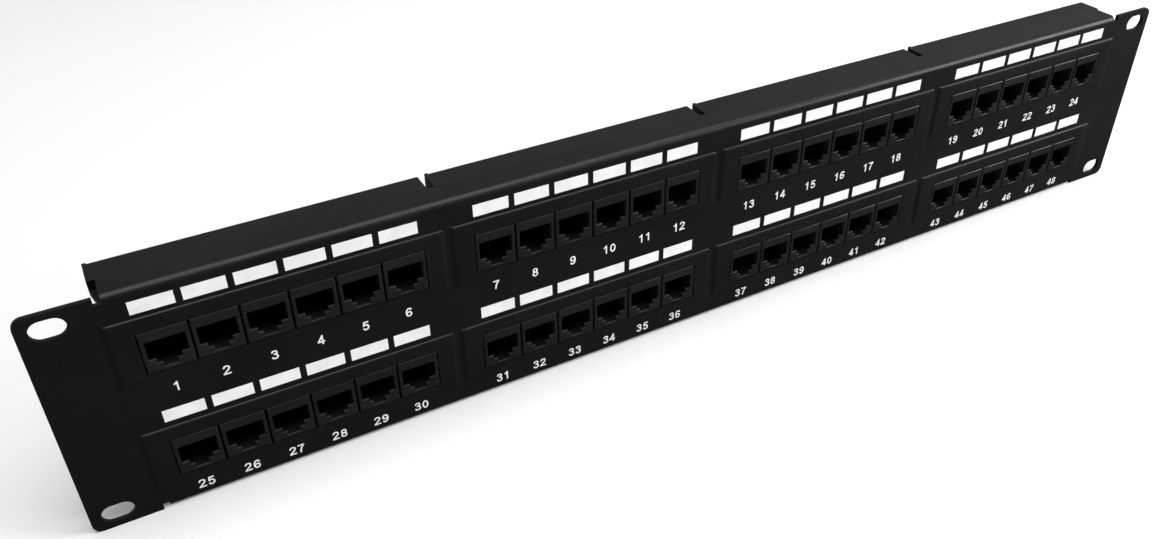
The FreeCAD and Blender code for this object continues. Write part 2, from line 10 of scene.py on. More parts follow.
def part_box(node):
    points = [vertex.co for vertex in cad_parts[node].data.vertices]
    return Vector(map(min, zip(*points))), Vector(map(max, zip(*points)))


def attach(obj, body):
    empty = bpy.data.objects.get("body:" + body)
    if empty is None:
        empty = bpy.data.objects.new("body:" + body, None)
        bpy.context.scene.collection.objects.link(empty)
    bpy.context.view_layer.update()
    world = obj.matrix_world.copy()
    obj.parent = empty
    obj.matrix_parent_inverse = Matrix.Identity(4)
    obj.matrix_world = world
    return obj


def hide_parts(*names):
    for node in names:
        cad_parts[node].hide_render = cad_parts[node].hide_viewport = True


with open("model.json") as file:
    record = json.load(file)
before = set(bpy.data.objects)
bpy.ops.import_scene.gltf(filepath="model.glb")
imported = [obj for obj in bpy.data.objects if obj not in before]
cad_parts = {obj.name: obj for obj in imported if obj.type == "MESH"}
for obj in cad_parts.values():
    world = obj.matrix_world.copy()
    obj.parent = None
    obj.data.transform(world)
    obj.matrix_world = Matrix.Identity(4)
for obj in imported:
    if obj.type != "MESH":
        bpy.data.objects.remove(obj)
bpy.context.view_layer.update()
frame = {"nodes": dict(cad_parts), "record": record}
BODY = "root"
MM = 0.001

# ---------------------------------------------------------------- sizes, metres
# bent sheet
SHEET = 1.5 * MM
BEND = 2.4 * MM
FLANGE_HALF = 217.0 * MM
RELIEF_WIDTH = 2.3 * MM
EAR_JOIN = 4.5 * MM
EAR_CORNER = 3.5 * MM
CUT_EDGE = 0.12 * MM
CUT_ANGLE = 75.0
SHEET_WELD = 0.005 * MM
BEND_STEPS = 10
SLOT_STEPS = 20
CORNER_STEPS = 8
# pressed field round each group of sockets
FIELD_HALF_LENGTH = 54.3 * MM
FIELD_HALF_HEIGHT = 12.85 * MM
FIELD_RISE = 0.7 * MM
FIELD_SLOPE = 2.0 * MM
FIELD_CREASE = 0.28 * MM
FIELD_CREASE_SHARE = 0.58
FIELD_FOOT = 4.0 * MM
FIELD_STEPS = 7
WINDOW_HALF_LENGTH = 46.35 * MM
WINDOW_HALF_HEIGHT = 7.95 * MM
WINDOW_STEPS = 6
# sockets
PORTS = 6
JACK_WIDTH = 14.8 * MM
JACK_CORNER = 0.3 * MM
JACK_EDGE = 0.35 * MM
PEG_LENGTH = 1.6 * MM
PEG_RADIUS = 1.5 * MM
PEG_SPACING = 11.4 * MM
PEG_DROP = 5.6 * MM
SOCKET_DEPTH = 12.5 * MM
SOCKET_TOP = 4.0 * MM
SOCKET_LIP = 0.9 * MM
CAVITY_FLOOR = -7.1 * MM
MOUTH_EDGE = 0.3 * MM
SOCKET_STEPS = ((6.1 * MM, -2.8 * MM), (3.8 * MM, -4.6 * MM), (2.25 * MM, -6.5 * MM))
CONTACT_PITCH = 1.02 * MM
COMB_FIN = 0.3 * MM
COMB_DEPTH = 3.0 * MM
COMB_DROP = 2.9 * MM
CONTACTS = 8
SOCKET_WELD = 0.001 * MM
SOCKET_SHARP = 35.0
RIM_ANGLES = (0.0, 30.0, 60.0, 90.0)
ROUND_STEPS = 20
# print on the face
PRINT_PITCH = 15.47 * MM
PRINT_LIFT = (0.2 * MM, 0.85 * MM)
LABEL_LENGTH = 13.24 * MM
LABEL_HEIGHT = 4.68 * MM
LABEL_RISE = 16.5 * MM
NUMBER_DROP = 16.35 * MM
NUMBER_HEIGHT = 3.7 * MM
PRINT_THICKNESS = 0.04 * MM
# punch-down blocks and their wiring labels
WIRES = 24
WIRE_PITCH = 3.6 * MM
BLOCK_HEIGHT = 10.4 * MM
BLOCK_BASE = 6.5 * MM
BLOCK_FLOOR = 1.2 * MM
TOOTH_WIDTH = 2.2 * MM
TOOTH_HEIGHT = 9.2 * MM
TOOTH_TIP = 1.4 * MM
CLIP_SLIT = 0.7 * MM
BLOCK_EDGE = 0.18 * MM
PAIR_COLOURS = ((0.02, 0.10, 0.45), (0.75, 0.20, 0.02), (0.02, 0.30, 0.07), (0.16, 0.06, 0.02))
STOCK_SHARE = 0.6
PATCH_LENGTH = 0.82
PATCH_RISE = 0.28
PLAIN_PATCH = 0.34
STRIPED_PATCH = 0.12
# nuts
NUT_CHAMFER = 0.35 * MM
NUT_FACE = 0.97
NUT_STEPS = 72
NUT_SHARP = 25.0
# carriers: X from their own middle, Y and Z in the frame
CARRIER_SHELL_HALF = 51.8 * MM
CARRIER_SHELL_Z = 41.4 * MM
CARRIER_WALL = 1.6 * MM
CARRIER_CAVITY_Z = 40.3 * MM
CARRIER_RAIL_Z = 38.1 * MM
CARRIER_TUCK_Z = 42.3 * MM
CARRIER_CROWN_Z = 43.6 * MM
CARRIER_SHELL_START = 0.2 * MM
CARRIER_TUCK_START = 1.2 * MM
CARRIER_CROWN_START = 9.8 * MM
CARRIER_STUB = 1.3 * MM
CARRIER_GUSSET_Z = 40.2 * MM
CARRIER_JOIN = 0.5 * MM
CARRIER_RIB_Z = -1.2 * MM
CARRIER_RIB = 2.0 * MM
CARRIER_EDGE = 0.2 * MM
CARRIER_EDGE_STEPS = 3
WINDOW_GAP = 0.3 * MM
# soft edges, degrees
SOFT_ANGLE = 35.0
SHADE_ANGLE = 50.0
# stage: the floor, two area lights, and the sky's strength along a sweep and across
FLOOR_HALF = 6.0
KEY_LIGHT = {"place": (1.05, -0.62, 0.45), "aim": (0.15, 0, 0), "sides": (0.5, 0.6), "power": 12.5}
TOP_LIGHT = {"place": (0.1, -0.25, 1.6), "aim": (0, -0.25, 0), "sides": (1.6, 1.7), "power": 31.5}
SKY_SWEEP = (0.0, 0.8, 1.0)
SKY_FADE = {"From Min": -0.5, "From Max": 0.3, "To Min": 0.12, "To Max": 0.35}
SKY_ACROSS = {"From Min": 0.2, "From Max": 0.8, "To Min": 0.5, "To Max": 1.0}
# camera, angles in degrees
CAMERA_PLACE = (-0.20659, -0.28021, 0.22252)
CAMERA_HEADING = -28.64
CAMERA_LOOK_DOWN = 34.66
CAMERA_ROLL = -0.41
CAMERA_LENS = 32.16
CAMERA_SHIFT = (-0.0127, -0.0103)

NODES = frame["nodes"]
PANEL_LOW, PANEL_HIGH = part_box("front_panel")
FACE_Y = -SHEET
TOP_Z = PANEL_HIGH.z
BOTTOM_Z = PANEL_LOW.z
END_X = PANEL_HIGH.x


def group_names():
    """The port ranges, such as 01_06, read from the circuit boards."""
    stem = "circuit_board_"
    return sorted(name[len(stem):] for name in NODES if name.startswith(stem))


def middle_of(node):
    """X and Z of the middle of a CAD node's box."""
    low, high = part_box(node)
    return (low.x + high.x) / 2, (low.z + high.z) / 2


GROUPS = {name: middle_of("circuit_board_" + name) for name in group_names()}
CENTRES = list(GROUPS.values())
COLUMNS = sorted({round(x, 6) for x, _ in CENTRES})
ROWS = sorted({round(z, 6) for _, z in CENTRES})
WINDOWS = [middle_of("jack_housings_" + name) for name in GROUPS]
CARRIERS = sorted(name for name in NODES if name.startswith("module_carrier_"))


def socket_places(name):
    """X and Z of the middle of each socket of a group."""
    low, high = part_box("jack_housings_" + name)
    pitch = (high.x - low.x - JACK_WIDTH) / (PORTS - 1)
    return [(low.x + JACK_WIDTH / 2 + port * pitch, (low.z + high.z) / 2) for port in range(PORTS)]


def print_places(name):
    """Number, X and Z of the print that belongs to each socket of a group."""
    x, z = GROUPS[name]
    first = int(name.split("_")[0])
    lift = PRINT_LIFT[0] if z > 0 else PRINT_LIFT[1]
    half = (PORTS - 1) / 2
    return [(first + port, x + (port - half) * PRINT_PITCH, z + lift) for port in range(PORTS)]


# ---------------------------------------------------------------- material helpers
def new_material(name):
    """A material with an empty node tree but for the shader and the output."""
    material = bpy.data.materials.new(name)
    material.use_nodes = True
    nodes = material.node_tree.nodes
    nodes.clear()
    output = nodes.new("ShaderNodeOutputMaterial")
    shader = nodes.new("ShaderNodeBsdfPrincipled")
    material.node_tree.links.new(shader.outputs["BSDF"], output.inputs["Surface"])
    return material, shader


class Tree:
    """Short calls for adding nodes to a material."""

    def __init__(self, material):
        self.nodes = material.node_tree.nodes
        self.links = material.node_tree.links
        self.place = self.nodes.new("ShaderNodeTexCoord").outputs["Object"]

    def noise(self, scale, detail=4.0, roughness=0.55, stretch=(1, 1, 1)):
        mapping = self.nodes.new("ShaderNodeMapping")
        mapping.inputs["Scale"].default_value = stretch
        self.links.new(self.place, mapping.inputs["Vector"])
        node = self.nodes.new("ShaderNodeTexNoise")
        node.inputs["Scale"].default_value = scale
        node.inputs["Detail"].default_value = detail
        node.inputs["Roughness"].default_value = roughness
        self.links.new(mapping.outputs["Vector"], node.inputs["Vector"])
        return node.outputs["Fac"]

    def cell_edges(self, scale):
        node = self.nodes.new("ShaderNodeTexVoronoi")
        node.feature = "DISTANCE_TO_EDGE"
        node.inputs["Scale"].default_value = scale
        self.links.new(self.place, node.inputs["Vector"])
        return node.outputs["Distance"]

    def spread(self, value, low, high, to_low=0.0, to_high=1.0):
        node = self.nodes.new("ShaderNodeMapRange")
        node.inputs["From Min"].default_value = low
        node.inputs["From Max"].default_value = high
        node.inputs["To Min"].default_value = to_low
        node.inputs["To Max"].default_value = to_high
        self.links.new(value, node.inputs["Value"])
        return node.outputs["Result"]

    def times(self, value, factor):
        node = self.nodes.new("ShaderNodeMath")
        node.operation = "MULTIPLY"
        self.links.new(value, node.inputs[0])
        node.inputs[1].default_value = factor
        return node.outputs["Value"]

    def blend(self, factor, first, second):
        node = self.nodes.new("ShaderNodeMix")
        node.data_type = "RGBA"
        self.links.new(factor, node.inputs["Factor"])
        for socket, value in ((node.inputs[6], first), (node.inputs[7], second)):
            if isinstance(value, tuple):
                socket.default_value = (*value, 1.0)
            else:
                self.links.new(value, socket)
        return node.outputs[2]

    def bump(self, height, distance, below=None):
        node = self.nodes.new("ShaderNodeBump")
        node.inputs["Distance"].default_value = distance
        self.links.new(height, node.inputs["Height"])
        if below is not None:
            self.links.new(below, node.inputs["Normal"])
        return node.outputs["Normal"]


def grey(value, tint=0.0):
    """A near-neutral colour, a little bluer as the tint grows."""
    return (value, value, value * (1.0 + tint))


def powder_coat():
    """Satin black powder coat: orange peel, faint mottling, a few dusty specks."""
    material, shader = new_material("powder_coat")
    tree = Tree(material)
    mottle = tree.noise(45.0, 4.0)
    base = tree.blend(mottle, grey(0.0048, 0.06), grey(0.0080, 0.05))
    specks = tree.spread(tree.noise(2600.0, 2.0), 0.67, 0.75)
    base = tree.blend(tree.times(specks, 0.22), base, grey(0.05))
    tree.links.new(base, shader.inputs["Base Color"])
    rough = tree.spread(mottle, 0.3, 0.7, 0.36, 0.46)
    tree.links.new(rough, shader.inputs["Roughness"])
    normal = tree.bump(tree.noise(420.0, 2.0), 0.00006)
    normal = tree.bump(tree.noise(1500.0, 3.0), 0.00003, below=normal)
    tree.links.new(normal, shader.inputs["Normal"])
    shader.inputs["Specular IOR Level"].default_value = 0.30
    return material


def moulded_plastic(name, dark, light, rough, grain_scale, grain_height, specular, scuff=0.05):
    """Spark-textured moulded plastic with soft flow mottling and light rubbed marks."""
    material, shader = new_material(name)
    tree = Tree(material)
    flow = tree.noise(38.0, 4.0, stretch=(0.35, 1.0, 1.0))
    base = tree.blend(tree.spread(flow, 0.3, 0.7), grey(dark), grey(light))
    rubbed = tree.spread(tree.noise(240.0, 5.0, 0.7, (0.3, 1.0, 1.0)), 0.62, 0.8)
    base = tree.blend(tree.times(rubbed, 0.15), base, grey(light + scuff))
    tree.links.new(base, shader.inputs["Base Color"])
    tree.links.new(tree.spread(flow, 0.3, 0.7, rough - 0.04, rough + 0.05),
                   shader.inputs["Roughness"])
    tree.links.new(tree.bump(tree.noise(grain_scale, 3.0), grain_height),
                   shader.inputs["Normal"])
    shader.inputs["Specular IOR Level"].default_value = specular
    return material


def block_plastic():
    """Off-white moulded plastic, slightly yellowed in places and faintly see-through."""
    material, shader = new_material("block_plastic")
    tree = Tree(material)
    flow = tree.noise(60.0, 4.0)
    base = tree.blend(tree.spread(flow, 0.3, 0.7), (0.56, 0.55, 0.50), (0.66, 0.65, 0.61))
    dust = tree.spread(tree.noise(900.0, 4.0), 0.6, 0.8)
    base = tree.blend(tree.times(dust, 0.2), base, (0.40, 0.39, 0.35))
    tree.links.new(base, shader.inputs["Base Color"])
    tree.links.new(tree.spread(flow, 0.3, 0.7, 0.38, 0.48), shader.inputs["Roughness"])
    tree.links.new(tree.bump(tree.noise(2200.0, 2.0), 0.00002), shader.inputs["Normal"])
    shader.inputs["Subsurface Weight"].default_value = 0.06
    shader.inputs["Subsurface Radius"].default_value = (0.002, 0.0018, 0.0014)
    return material


def printed_ink(name, colour):
    """Printed ink, slightly uneven over the surface under it."""
    material, shader = new_material(name)
    tree = Tree(material)
    patch = tree.noise(160.0, 4.0)
    faded = tuple(channel * 0.9 for channel in colour)
    base = tree.blend(tree.spread(patch, 0.35, 0.65), faded, colour)
    pin = tree.spread(tree.noise(2400.0, 2.0), 0.70, 0.76)
    worn = tuple(channel * 0.45 for channel in colour)
    base = tree.blend(tree.times(pin, 0.3), base, worn)
    tree.links.new(base, shader.inputs["Base Color"])
    tree.links.new(tree.spread(patch, 0.3, 0.7, 0.5, 0.6), shader.inputs["Roughness"])
    tree.links.new(tree.bump(tree.noise(1500.0, 2.0), 0.00002), shader.inputs["Normal"])
    shader.inputs["Specular IOR Level"].default_value = 0.3
    return material


def plated_metal(name, low, high, rough_low, rough_high, stretch):
    """Plated metal with fine drawn lines and slight clouding."""
    material, shader = new_material(name)
    tree = Tree(material)
    cloud = tree.noise(300.0, 4.0)
    lines = tree.noise(900.0, 3.0, 0.6, stretch)
    tree.links.new(tree.blend(cloud, low, high), shader.inputs["Base Color"])
    tree.links.new(tree.spread(lines, 0.3, 0.7, rough_low, rough_high), shader.inputs["Roughness"])
    tree.links.new(tree.bump(lines, 0.00001), shader.inputs["Normal"])
    shader.inputs["Metallic"].default_value = 1.0
    return material


def board_laminate():
    """Green solder mask over faint copper tracks."""
    material, shader = new_material("board_laminate")
    tree = Tree(material)
    tracks = tree.spread(tree.cell_edges(420.0), 0.02, 0.05)
    weave = tree.noise(900.0, 2.0)
    mask = tree.blend(weave, (0.008, 0.085, 0.035), (0.012, 0.11, 0.045))
    base = tree.blend(tracks, (0.02, 0.17, 0.07), mask)
    tree.links.new(base, shader.inputs["Base Color"])
    tree.links.new(tree.spread(weave, 0.3, 0.7, 0.22, 0.34), shader.inputs["Roughness"])
    tree.links.new(tree.bump(tracks, 0.00003), shader.inputs["Normal"])
    return material


def make_materials():
    """The finish of each material slot of the record, and a duller copy of the jack plastic, with
    little sheen, for the walls inside the sockets: painted shade there.
    """
    along_y = (1.0, 0.15, 1.0)
    return {
        "panel_paint": powder_coat(),
        "carrier_plastic": moulded_plastic("carrier_plastic", 0.0065, 0.0120, 0.46,
                                           1900.0, 0.00003, 0.25),
        "jack_plastic": moulded_plastic("jack_plastic", 0.0082, 0.0122, 0.31,
                                        2400.0, 0.000012, 0.42),
        # the same jack plastic, rougher and with much less sheen: painted shade on the walls inside
        # the sockets
        "jack_inside_shade": moulded_plastic("jack_inside_shade", 0.0095, 0.0140, 0.60,
                                       2400.0, 0.00002, 0.14, scuff=0.01),
        "block_plastic": block_plastic(),
        "contact_gold": plated_metal("contact_gold", (0.80, 0.55, 0.20), (0.90, 0.66, 0.28),
                                     0.16, 0.26, along_y),
        "clip_tin": plated_metal("clip_tin", (0.60, 0.59, 0.57), (0.72, 0.71, 0.69),
                                 0.28, 0.42, along_y),
        "zinc_steel": plated_metal("zinc_steel", (0.55, 0.56, 0.57), (0.68, 0.69, 0.70),
                                   0.24, 0.38, (1.0, 1.0, 1.0)),
        "board_laminate": board_laminate(),
        "label_white": printed_ink("white_print", (0.88, 0.88, 0.88)),
    }


MATERIALS = make_materials()


def finish_nodes():
    """Give every CAD node the material of its slot."""
    for entry in frame["record"]["subparts"]:
        node = NODES[entry["node"]]
        node.data.materials.clear()
        node.data.materials.append(MATERIALS[entry["material_slot"]])


# ---------------------------------------------------------------- mesh helpers
def make_object(name, mesh, slot, nodes=()):
    """An object that rides on the body in its slot's material and stands for CAD nodes."""
    piece = bpy.data.objects.new(name, mesh)
    bpy.context.scene.collection.objects.link(piece)
    if not mesh.materials:
        mesh.materials.append(MATERIALS[slot])
    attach(piece, BODY)
    if nodes:
        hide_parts(*nodes)


def to_mesh(name, bm):
    """A mesh from a bmesh, with its normals turned outwards."""
    mesh = bpy.data.meshes.new(name)
    bmesh.ops.recalc_face_normals(bm, faces=bm.faces)
    bm.to_mesh(mesh)
    bm.free()
    return mesh


def with_modifiers(mesh, settings):
    """The mesh that a row of modifiers makes of a mesh; settings holds (type, values) pairs."""
    holder = bpy.data.objects.new(mesh.name, mesh)
    bpy.context.scene.collection.objects.link(holder)
    for kind, values in settings:
        modifier = holder.modifiers.new(kind.lower(), kind)
        for key, value in values.items():
            setattr(modifier, key, value)
    graph = bpy.context.evaluated_depsgraph_get()
    result = bpy.data.meshes.new_from_object(holder.evaluated_get(graph))
    result.name = mesh.name
    bpy.data.objects.remove(holder)
    return result


def softened(mesh, width, segments=2, angle=SOFT_ANGLE):
    """The mesh with its sharp edges rounded, shaded smooth between them."""
    bevel = {"width": width, "segments": segments, "limit_method": "ANGLE",
             "angle_limit": math.radians(angle), "miter_outer": "MITER_ARC"}
    result = with_modifiers(mesh, [("BEVEL", bevel)])
    result.shade_smooth()
    result.set_sharp_from_angle(angle=math.radians(SHADE_ANGLE))
    return with_modifiers(result, [("WEIGHTED_NORMAL", {"keep_sharp": True})])


def stamp(bm, mesh, matrix):
    """Add a moved copy of a mesh."""
    copy = mesh.copy()
    copy.transform(matrix)
    bm.from_mesh(copy)
    bpy.data.meshes.remove(copy)


def stamped(name, mesh, offsets):
    """One mesh that holds a copy of a mesh at each offset."""
    bm = bmesh.new()
    for offset in offsets:
        stamp(bm, mesh, Matrix.Translation(offset))
    result = bpy.data.meshes.new(name)
    bm.to_mesh(result)
    bm.free()
    for material in mesh.materials:
        result.materials.append(material)
    return result


def add_ring(bm, lower, upper):
    """Faces between two loops of the same number of vertices."""
    for i in range(len(lower)):
        j = (i + 1) % len(lower)
        bm.faces.new((lower[i], lower[j], upper[j], upper[i]))


def add_tube(bm, loops, close_start=True, close_end=True):
    """A skin over a row of loops of points, closed at its ends where asked."""
    rings = [[bm.verts.new(point) for point in loop] for loop in loops]
    for lower, upper in zip(rings, rings[1:]):
        add_ring(bm, lower, upper)
    if close_start:
        bm.faces.new(list(reversed(rings[0])))
    if close_end:
        bm.faces.new(rings[-1])
    return rings


def circle(x, z, radius, y):
    """Points round an upright circle that faces along Y."""
    turns = [2 * math.pi * step / ROUND_STEPS for step in range(ROUND_STEPS)]
    return [(x + radius * math.cos(turn), y, z + radius * math.sin(turn)) for turn in turns]


def cell_solid(bm, xs, ys, zs, filled):
    """The skin of a solid made of the boxes of a grid whose middles pass the test."""
    axes = [sorted(set(values)) for values in (xs, ys, zs)]
    cells = set()
    for i in range(len(axes[0]) - 1):
        for j in range(len(axes[1]) - 1):
            for k in range(len(axes[2]) - 1):
                middle = [(axis[n] + axis[n + 1]) / 2 for axis, n in zip(axes, (i, j, k))]
                if filled(*middle):
                    cells.add((i, j, k))
    verts = {}

    def corner(index):
        if index not in verts:
            verts[index] = bm.verts.new([axis[n] for axis, n in zip(axes, index)])
        return verts[index]

    for cell in cells:
        for axis in range(3):
            across = (axis + 1) % 3
            up = (axis + 2) % 3
            for side in (0, 1):
                beside = list(cell)
                beside[axis] += 1 if side else -1
                if tuple(beside) in cells:
                    continue
                loop = []
                for step_across, step_up in ((0, 0), (1, 0), (1, 1), (0, 1)):
                    index = list(cell)
                    index[axis] += side
                    index[across] += step_across
                    index[up] += step_up
                    loop.append(corner(tuple(index)))
                bm.faces.new(loop if side else list(reversed(loop)))


def mirrored(values):
    """The values and their negatives."""
    return [sign * value for value in values for sign in (-1, 1)]


def distinct(values):
    """The values in order, with each that repeats taken once."""
    return sorted({round(value, 7) for value in values})


# ---------------------------------------------------------------- front panel
def rounded_share(depth):
    """Share of a field's rise at a depth inside its edge: steep at first, then level."""
    return 1.0 - (1.0 - min(depth / FIELD_SLOPE, 1.0)) ** 2


def creased_share(depth):
    """Share of a field's rise below its upper edge: a crease, then a gentle slope."""
    crease = min(depth / FIELD_CREASE, 1.0)
    return FIELD_CREASE_SHARE * crease + (1.0 - FIELD_CREASE_SHARE) * rounded_share(depth)


def foot_share(depth):
    """Share of a field's rise above its lower edge, which runs out softly into the face."""
    share = min(depth / FIELD_FOOT, 1.0)
    return share * share * (3.0 - 2.0 * share)


def field_height(x, z):
    """Height of the pressed fields above the flat face."""
    for centre_x, centre_z in CENTRES:
        across = FIELD_HALF_LENGTH - abs(x - centre_x)
        down = centre_z + FIELD_HALF_HEIGHT - z
        up = z - centre_z + FIELD_HALF_HEIGHT
        if across > 0.0 and down > 0.0 and up > 0.0:
            return FIELD_RISE * rounded_share(across) * creased_share(down) * foot_share(up)
    return 0.0


def slope_lines(edge, inward):
    """Grid lines across a field's edge: a narrow outer strip, then even steps up its slope."""
    step = (FIELD_SLOPE - FIELD_CREASE) / FIELD_STEPS
    depths = [0.0] + [FIELD_CREASE + step * index for index in range(FIELD_STEPS + 1)]
    return [edge + inward * depth for depth in depths]


def column_lines():
    """X of every grid line across the channel and the inner edge of the ears."""
    relief_end = FLANGE_HALF + RELIEF_WIDTH
    lines = mirrored([FLANGE_HALF, relief_end, FLANGE_HALF + EAR_JOIN])
    for x in COLUMNS:
        lines += slope_lines(x - FIELD_HALF_LENGTH, 1)
        lines += slope_lines(x + FIELD_HALF_LENGTH, -1)
    for x, _ in WINDOWS:
        lines += [x + WINDOW_HALF_LENGTH * step / WINDOW_STEPS
                  for step in range(-WINDOW_STEPS, WINDOW_STEPS + 1)]
    return distinct(lines)


def face_lines():
    """Z of every grid line on the flat face, between the two bends."""
    limit = TOP_Z - BEND
    lines = [-limit, limit]
    for z in ROWS:
        lines += [z - FIELD_HALF_HEIGHT + FIELD_FOOT * step / FIELD_STEPS
                  for step in range(FIELD_STEPS + 1)]
        lines += slope_lines(z + FIELD_HALF_HEIGHT, -1)
    for _, z in WINDOWS:
        lines += [z - WINDOW_HALF_HEIGHT, z + WINDOW_HALF_HEIGHT]
    return distinct(lines)


def section_path():
    """Points (Y, Z, flat) of the sheet's outer skin, from one flange's edge to the other's."""
    rear = PANEL_HIGH.y
    bend_y = FACE_Y + BEND
    upper = []
    for step in range(1, BEND_STEPS + 1):
        angle = math.pi / 2 * step / BEND_STEPS
        upper.append((bend_y - BEND * math.cos(angle), TOP_Z - BEND + BEND * math.sin(angle), False))
    upper.append(((bend_y + rear) / 2, TOP_Z, False))
    upper.append((rear, TOP_Z, False))
    face = [(FACE_Y, z, True) for z in face_lines()]
    lower = [(y, -z, flat) for y, z, flat in reversed(upper)]
    return lower + face + upper


def in_window(x, z):
    """Whether a place on the face is inside one of the windows."""
    return any(abs(x - cx) < WINDOW_HALF_LENGTH and abs(z - cz) < WINDOW_HALF_HEIGHT
               for cx, cz in WINDOWS)


def add_channel(bm):
    """The channel and the inner edge of the ears, with the pressed fields and their windows."""
    columns = column_lines()
    path = section_path()
    grid = {}

    def vertex(column, row):
        if (column, row) not in grid:
            x = columns[column]
            y, z, flat = path[row]
            rise = field_height(x, z) if flat else 0.0
            grid[column, row] = bm.verts.new((x, y - rise, z))
        return grid[column, row]

    for left in range(len(columns) - 1):
        for low in range(len(path) - 1):
            middle_x = (columns[left] + columns[left + 1]) / 2
            middle_z = (path[low][1] + path[low + 1][1]) / 2
            flat = path[low][2] and path[low + 1][2]
            if flat and in_window(middle_x, middle_z):
                continue
            if not flat and abs(middle_x) > FLANGE_HALF:
                continue
            bm.faces.new((vertex(left, low), vertex(left + 1, low),
                          vertex(left + 1, low + 1), vertex(left, low + 1)))


def slot_outline(centre_x, centre_z, length, width):
    """Points round an obround rack slot."""
    radius = width / 2
    reach = (length - width) / 2
    points = []
    for side in (1, -1):
        for step in range(SLOT_STEPS + 1):
            angle = -math.pi / 2 + math.pi * step / SLOT_STEPS
            points.append((centre_x + side * (reach + radius * math.cos(angle)),
                           centre_z + side * radius * math.sin(angle)))
    return points


def rack_slots(side):
    """Centre, length and width of the rack slots of one ear, from the record's mount."""
    mount = [m for m in frame["record"]["mounts"] if m["name"] == "rack_slots"][0]
    dims = mount["dims"]
    half_x = dims["spacing_x_mm"] * MM / 2
    half_z = dims["spacing_y_mm"] * MM / 2
    return [(side * half_x, up * half_z, dims["slot_length_mm"] * MM, 2 * dims["hole_r_mm"] * MM)
            for up in (-1, 1)]


def ear_outline(side):
    """Points round one ear, from the channel's grid to its rounded outer corners."""
    shoulder = TOP_Z - BEND
    join = FLANGE_HALF + EAR_JOIN
    relief = FLANGE_HALF + RELIEF_WIDTH
    points = [(side * join, z) for z in face_lines()]
    top = [(x, shoulder) for x in sorted(column_lines()) if relief - 1e-9 < x < join - 1e-9]
    top = [(side * x, z) for x, z in reversed(top)] + [(side * relief, TOP_Z)]
    corner = []
    for step in range(CORNER_STEPS + 1):
        angle = math.pi / 2 * step / CORNER_STEPS
        corner.append((side * (END_X - EAR_CORNER * (1 - math.sin(angle))),
                       TOP_Z - EAR_CORNER * (1 - math.cos(angle))))
    upper = top + corner
    return points + upper + [(x, -z) for x, z in reversed(upper)]


def inside(point, outline):
    """Whether a point is inside a closed outline."""
    crossings = 0
    for (x0, z0), (x1, z1) in zip(outline, outline[1:] + outline[:1]):
        if (z0 > point.y) != (z1 > point.y):
            crossings += point.x < x0 + (point.y - z0) / (z1 - z0) * (x1 - x0)
    return crossings % 2 == 1


def fill_outline(outline, holes):
    """Points and triangles that fill an outline but for its holes."""
    loops = [outline] + holes
    points = []
    edges = []
    for loop in loops:
        first = len(points)
        points += [Vector(point) for point in loop]
        edges += [(first + i, first + (i + 1) % len(loop)) for i in range(len(loop))]
    made, _, faces, _, _, _ = delaunay_2d_cdt(points, edges, [], 1, 1e-7)
    kept = []
    for face in faces:
        middle = sum((made[i] for i in face), Vector((0, 0))) / len(face)
        if inside(middle, outline) and not any(inside(middle, hole) for hole in holes):
            kept.append(face)
    return made, kept


def add_ear(bm, side):
    """One flat ear, cut through by its two rack slots."""
    holes = [slot_outline(*slot) for slot in rack_slots(side)]
    points, faces = fill_outline(ear_outline(side), holes)
    verts = [bm.verts.new((point.x, FACE_Y, point.y)) for point in points]
    for face in faces:
        bm.faces.new([verts[i] for i in face])


def front_panel():
    """The bent sheet: an outer skin given its thickness, with its cut edges slightly rounded."""
    bm = bmesh.new()
    add_channel(bm)
    for side in (-1, 1):
        add_ear(bm, side)
    bmesh.ops.remove_doubles(bm, verts=bm.verts, dist=SHEET_WELD)
    bmesh.ops.recalc_face_normals(bm, faces=bm.faces)
    largest = max(bm.faces, key=lambda face: face.calc_area())
    if largest.normal.y > 0:
        bmesh.ops.reverse_faces(bm, faces=bm.faces)
    mesh = bpy.data.meshes.new("panel_sheet")
    bm.to_mesh(mesh)
    bm.free()
    solid = {"thickness": SHEET, "offset": -1.0, "use_even_offset": True}
    mesh = with_modifiers(mesh, [("SOLIDIFY", solid)])
    mesh = softened(mesh, CUT_EDGE, angle=CUT_ANGLE)
    make_object("panel_sheet", mesh, "panel_paint", ["front_panel"])


# ---------------------------------------------------------------- sockets
def rounded_rectangle(half_width, half_height, radius):
    """Points (X, Z) round a rectangle with round corners."""
    steps = 3
    points = []
    for quarter, (sx, sz) in enumerate(((1, 1), (-1, 1), (-1, -1), (1, -1))):
        for step in range(steps + 1):
            angle = math.pi / 2 * (quarter + step / steps)
            points.append((sx * (half_width - radius) + radius * math.cos(angle),
                           sz * (half_height - radius) + radius * math.sin(angle)))
    return points


def socket_outline(margin):
    """The stepped opening of a socket, grown by a margin."""
    right = [(SOCKET_STEPS[0][0] + margin, SOCKET_TOP + margin)]
    for (half, floor), following in zip(SOCKET_STEPS, SOCKET_STEPS[1:] + ((None, None),)):
        right.append((half + margin, floor - margin))
        if following[0] is not None:
            right.append((following[0] + margin, floor - margin))
    return right + [(-x, z) for x, z in reversed(right)]


def rounded_rim(outline, radius, face):
    """Loops that turn a wall into the face round an edge; outline takes a margin and a Y."""
    turns = [math.radians(angle) for angle in RIM_ANGLES]
    return [outline(radius * (1.0 - math.cos(turn)), face + radius * (1.0 - math.sin(turn)))
            for turn in turns]


def add_cavity(bm, lip, rear):
    """The plain cavity behind the stepped lip, from the lip's loop to the rear wall."""
    right, left = lip[1], lip[-2]
    corners = [bm.verts.new((side.co.x, side.co.y, CAVITY_FLOOR)) for side in (left, right)]
    bm.faces.new(lip[1:-1] + corners)
    front = [lip[0], right, corners[1], corners[0], left, lip[-1]]
    back = [bm.verts.new((vert.co.x, rear, vert.co.z)) for vert in front]
    add_ring(bm, front, back)
    bm.faces.new(back)


